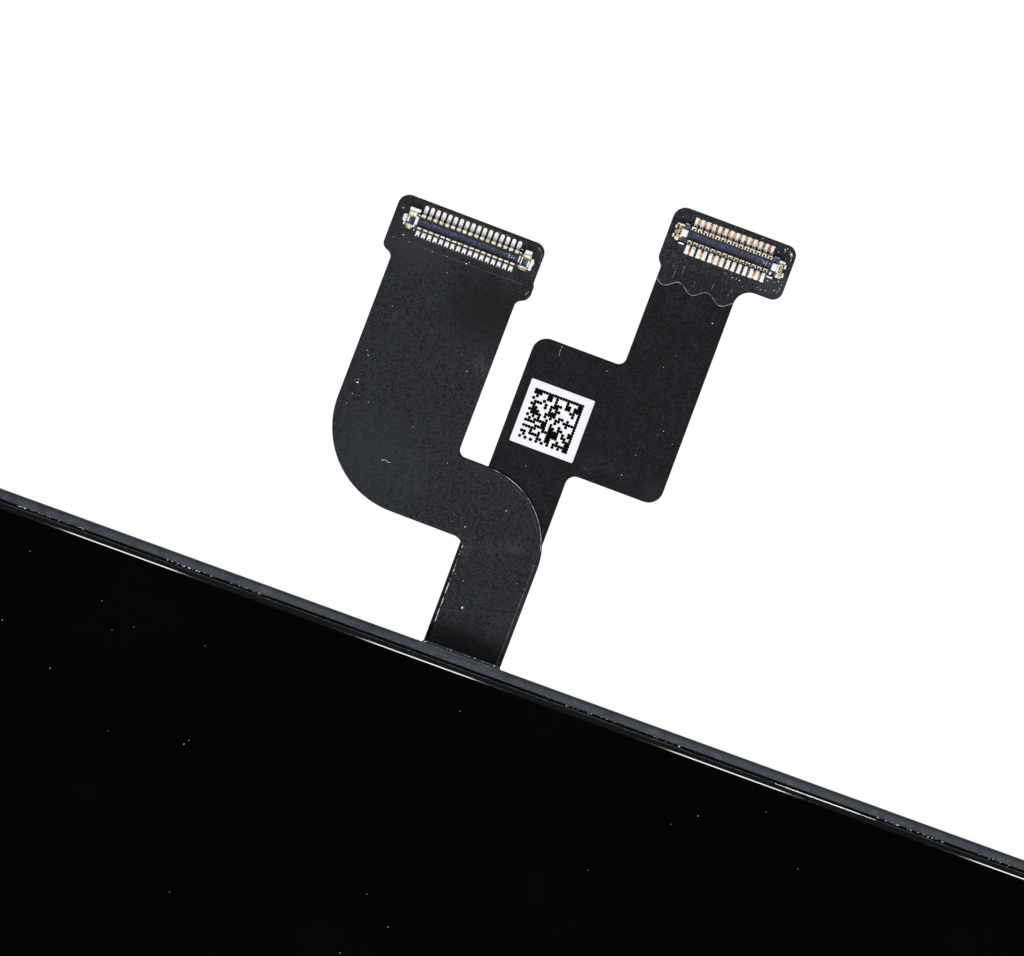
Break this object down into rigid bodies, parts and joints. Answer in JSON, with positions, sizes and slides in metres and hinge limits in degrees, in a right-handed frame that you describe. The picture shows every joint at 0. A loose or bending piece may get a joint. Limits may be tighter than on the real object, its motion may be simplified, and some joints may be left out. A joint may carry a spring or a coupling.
{
  "type": "phone lcd screen assembly",
  "caption": "Black cover glass and display panel in a thin slate frame with a rear shield plate, and two flat flexible circuits with board-to-board plugs leaving one long side.",
  "frame": {"origin": "middle of the cover glass's front face, with everything else at or below z = 0", "axes": "+Z out of the front glass, +X along the frame's long side away from the earpiece slot, +Y towards the long side that the flexible circuits leave"},
  "size_m": [0.141, 0.0964, 0.0029],
  "materials": {
    "cover_glass": "polished glass printed black behind",
    "frame": "satin slate moulding",
    "tape": "black foam adhesive tape",
    "clear": "clear optical film",
    "polariser": "dark polariser film",
    "panel_glass": "thin display glass",
    "chip": "bare silicon driver chip",
    "guide": "clear acrylic light guide",
    "white_film": "white film",
    "steel": "thin rolled stainless sheet",
    "graphite": "dark graphite heat sheet",
    "board": "fine-grained charcoal coverlay",
    "shield": "fine-grained charcoal shield film",
    "housing": "navy-black moulding with gold-plated contacts",
    "tin": "tinned and gold-flashed bronze",
    "paper": "white label with a printed dot matrix",
    "mesh": "blackened fine mesh"
  },
  "bodies": {
    "root": {"cover_glass": "cover_glass", "bezel_frame": "frame", "frame_tape": "tape", "earpiece_mesh": "mesh", "optical_adhesive": "clear", "front_polariser": "polariser", "colour_filter_glass": "panel_glass", "transistor_glass": "panel_glass", "rear_polariser": "polariser", "driver_chip": "chip", "backlight_tray": "steel", "prism_sheet": "clear", "diffuser_sheet": "white_film", "light_guide": "guide", "reflector_sheet": "white_film", "led_strip": "white_film", "spacer_tape": "tape", "shield_plate": "steel", "graphite_sheet_1": "graphite", "graphite_sheet_2": "graphite", "graphite_sheet_3": "graphite", "graphite_sheet_4": "graphite", "display_flex": "board", "display_stiffener": "steel", "display_connector": "housing", "display_hold_down_left": "tin", "display_hold_down_right": "tin", "touch_flex": "board", "touch_shield_film": "shield", "touch_stiffener": "steel", "touch_connector": "housing", "touch_hold_down_left": "tin", "touch_hold_down_right": "tin", "label": "paper"}
  },
  "joints": []
}
